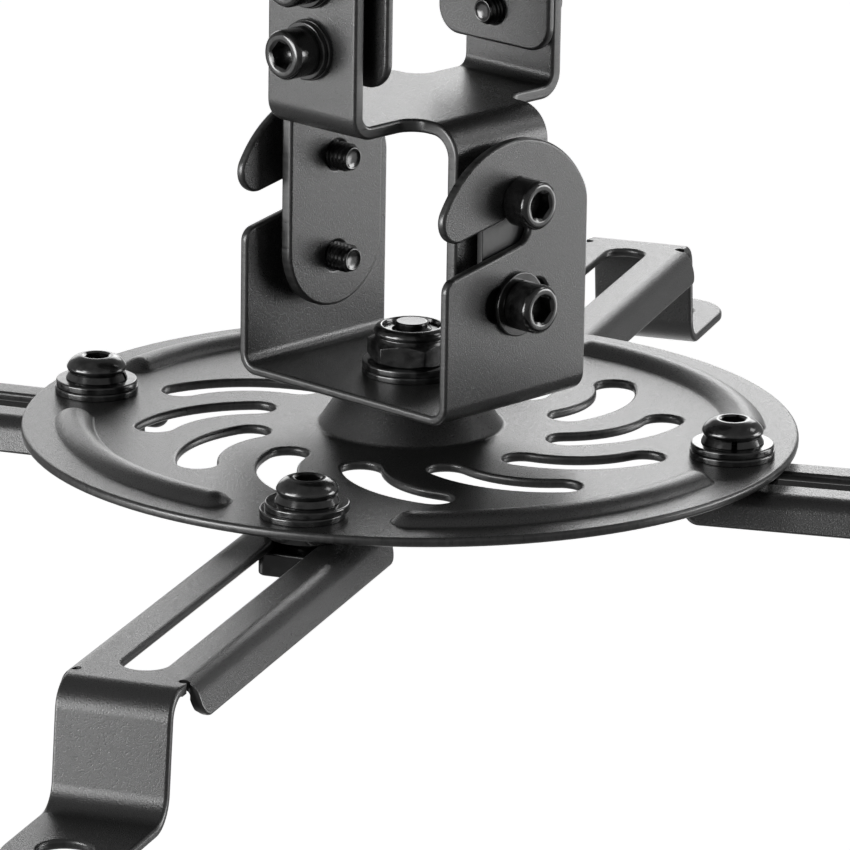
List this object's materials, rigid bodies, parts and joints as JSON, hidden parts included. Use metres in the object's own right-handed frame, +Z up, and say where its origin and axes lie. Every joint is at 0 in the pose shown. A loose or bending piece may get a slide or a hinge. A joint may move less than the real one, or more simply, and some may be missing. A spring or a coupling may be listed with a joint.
{
  "type": "projector ceiling mount",
  "caption": "Ceiling mount for a projector: a yoke and folded cross bracket with a hooked tilt bracket over a slotted round plate that carries telescoping arms.",
  "frame": {"origin": "centre of the ceiling plate's upper face", "axes": "+Z up to the ceiling, X along the tilt screws, Y along the roll screws"},
  "size_m": [0.3718, 0.3765, 0.1502],
  "materials": {
    "coated_sheet": "fine textured powder coat",
    "friction_strip": "matt",
    "black_hardware": "black oxide, oiled"
  },
  "bodies": {
    "ceiling_mount": {"ceiling_plate": "coated_sheet", "ceiling_yoke": "coated_sheet", "roll_spacers": "black_hardware", "roll_flat_washers": "black_hardware", "roll_lock_washers": "black_hardware", "roll_screws": "black_hardware"},
    "roll_bracket": {"cross_bracket": "coated_sheet", "dish_washers": "black_hardware", "friction_strips": "friction_strip", "tilt_pivot_screws": "black_hardware", "tilt_clamp_washers": "black_hardware", "tilt_clamp_screws": "black_hardware"},
    "tilt_bracket": {"tilt_bracket": "coated_sheet", "swivel_bolt": "black_hardware", "swivel_lower_washer": "black_hardware", "swivel_upper_washer": "black_hardware", "swivel_nut": "black_hardware"},
    "spider": {"spider_plate": "coated_sheet"},
    "clamp_right": {"rim_screw_right": "black_hardware", "spring_washer_right": "black_hardware", "upper_washer_right": "black_hardware", "lower_washer_right": "black_hardware", "under_washer_right": "black_hardware", "clamp_nut_right": "black_hardware"},
    "arm_right": {"arm_right": "coated_sheet"},
    "clamp_back": {"rim_screw_back": "black_hardware", "spring_washer_back": "black_hardware", "upper_washer_back": "black_hardware", "lower_washer_back": "black_hardware", "under_washer_back": "black_hardware", "clamp_nut_back": "black_hardware"},
    "arm_back": {"arm_back": "coated_sheet"},
    "clamp_left": {"rim_screw_left": "black_hardware", "spring_washer_left": "black_hardware", "upper_washer_left": "black_hardware", "lower_washer_left": "black_hardware", "under_washer_left": "black_hardware", "clamp_nut_left": "black_hardware"},
    "arm_left": {"arm_left": "coated_sheet"},
    "clamp_front": {"rim_screw_front": "black_hardware", "spring_washer_front": "black_hardware", "upper_washer_front": "black_hardware", "lower_washer_front": "black_hardware", "under_washer_front": "black_hardware", "clamp_nut_front": "black_hardware"},
    "arm_front": {"arm_front": "coated_sheet"}
  },
  "joints": [
    {"name": "roll", "type": "hinge", "parent": "ceiling_mount", "child": "roll_bracket", "pos_m": [0, 0, -0.0381], "axis": [0, 1, 0], "range_deg": [-12, 12]},
    {"name": "tilt", "type": "hinge", "parent": "roll_bracket", "child": "tilt_bracket", "pos_m": [0, 0, -0.0688], "axis": [1, 0, 0], "range_deg": [-15, 15]},
    {"name": "swivel", "type": "hinge", "parent": "tilt_bracket", "child": "spider", "pos_m": [0, 0, -0.1211], "axis": [0, 0, 1], "continuous": true},
    {"name": "swing_right", "type": "hinge", "parent": "spider", "child": "clamp_right", "pos_m": [0.06057, 0.03046, -0.1211], "axis": [0, 0, 1], "range_deg": [-20, 20]},
    {"name": "slide_right", "type": "slide", "parent": "clamp_right", "child": "arm_right", "axis": [0.8695, 0.4939, 0], "range_m": [-0.042, 0]},
    {"name": "swing_back", "type": "hinge", "parent": "spider", "child": "clamp_back", "pos_m": [-0.03046, 0.06057, -0.1211], "axis": [0, 0, 1], "range_deg": [-20, 20]},
    {"name": "slide_back", "type": "slide", "parent": "clamp_back", "child": "arm_back", "axis": [-0.4337, 0.9011, 0], "range_m": [-0.0418, 0.0002]},
    {"name": "swing_left", "type": "hinge", "parent": "spider", "child": "clamp_left", "pos_m": [-0.06057, -0.03046, -0.1211], "axis": [0, 0, 1], "range_deg": [-20, 20]},
    {"name": "slide_left", "type": "slide", "parent": "clamp_left", "child": "arm_left", "axis": [-0.9048, -0.4258, 0], "range_m": [-0.038, 0.004]},
    {"name": "swing_front", "type": "hinge", "parent": "spider", "child": "clamp_front", "pos_m": [0.03046, -0.06057, -0.1211], "axis": [0, 0, 1], "range_deg": [-20, 20]},
    {"name": "slide_front", "type": "slide", "parent": "clamp_front", "child": "arm_front", "axis": [0.4147, -0.91, 0], "range_m": [-0.038, 0.004]}
  ]
}
